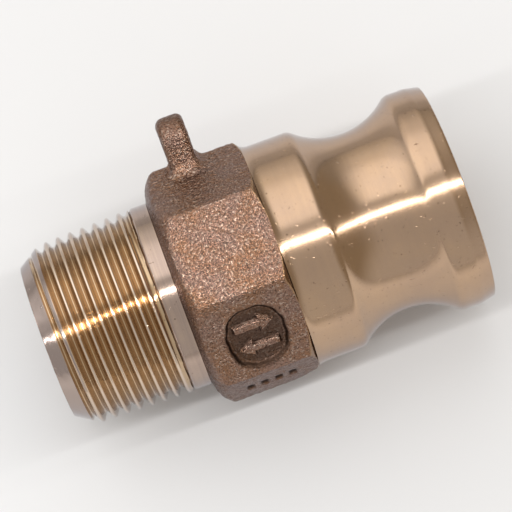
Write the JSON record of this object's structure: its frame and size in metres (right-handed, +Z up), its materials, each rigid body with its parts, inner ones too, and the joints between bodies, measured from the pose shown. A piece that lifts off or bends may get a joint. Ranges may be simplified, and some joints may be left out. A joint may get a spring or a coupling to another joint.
{
  "type": "camlock coupling male adapter",
  "caption": "Cast bronze cam-and-groove male adapter: octagon body with a chain lug, a taper pipe thread at one end and a grooved cam head at the other.",
  "frame": {"origin": "centre of the cam head's sealing face, on the flow axis, where the bore opens", "axes": "+X along the flow axis out of the cam head, so the pipe thread is at -X; +Z up, square to the wrench flat opposite the one the part lies on; the medallion recess faces -Y and up, and the chain lug stands on the +Y side"},
  "size_m": [0.0608, 0.0387, 0.0326],
  "materials": {
    "machined_bronze": "satin, lathe turned, with faint turning lines",
    "cast_bronze": "rough, as sand cast"
  },
  "bodies": {
    "root": {"threaded_shank": "machined_bronze", "turned_collar": "machined_bronze", "octagon_body": "cast_bronze", "chain_lug": "cast_bronze", "flow_mark": "cast_bronze", "cam_head": "machined_bronze"}
  },
  "joints": []
}
